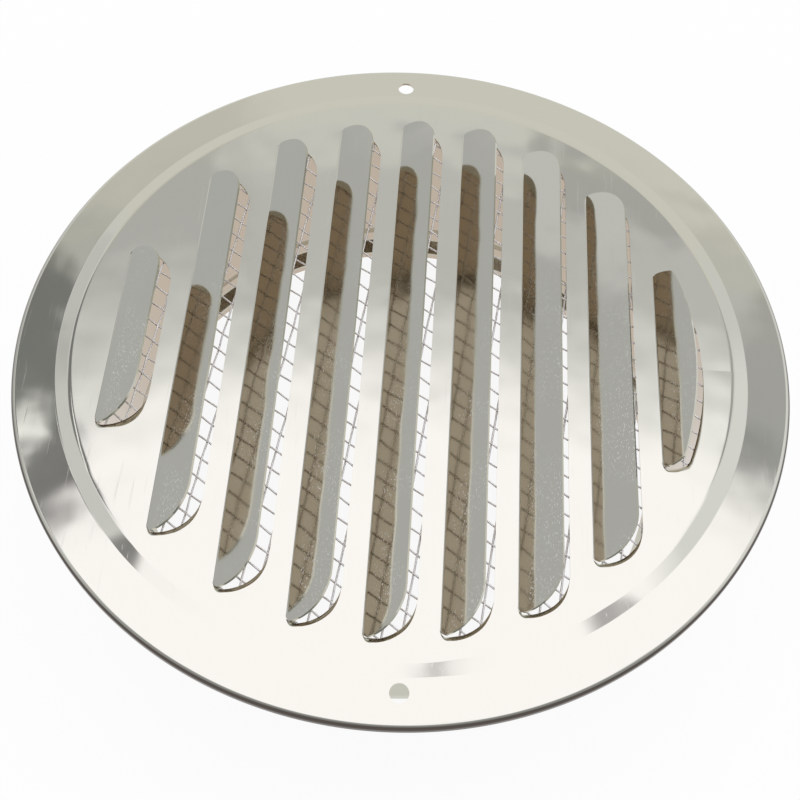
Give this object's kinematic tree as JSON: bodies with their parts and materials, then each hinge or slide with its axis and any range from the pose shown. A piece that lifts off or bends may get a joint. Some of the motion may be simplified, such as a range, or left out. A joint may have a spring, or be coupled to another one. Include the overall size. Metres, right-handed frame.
{
  "type": "round louvred vent cover",
  "caption": "Round polished steel vent cover with outward louvre fins, insect mesh behind the slots and a rear duct collar; ends a ventilation duct at a wall.",
  "frame": {"origin": "on the duct axis, in the plane of the collar's open end, on which the part rests face up", "axes": "+Z out of the louvred face, +Y along the slots, +X from each fin's bend to its free edge"},
  "size_m": [0.2, 0.2, 0.0662],
  "materials": {
    "polished_plate": "mirror polished",
    "mesh_wire": "bright drawn wire",
    "polished_collar": "mirror polished"
  },
  "bodies": {
    "root": {"face_plate": "polished_plate", "insect_mesh": "mesh_wire", "duct_collar": "polished_collar"}
  },
  "joints": []
}
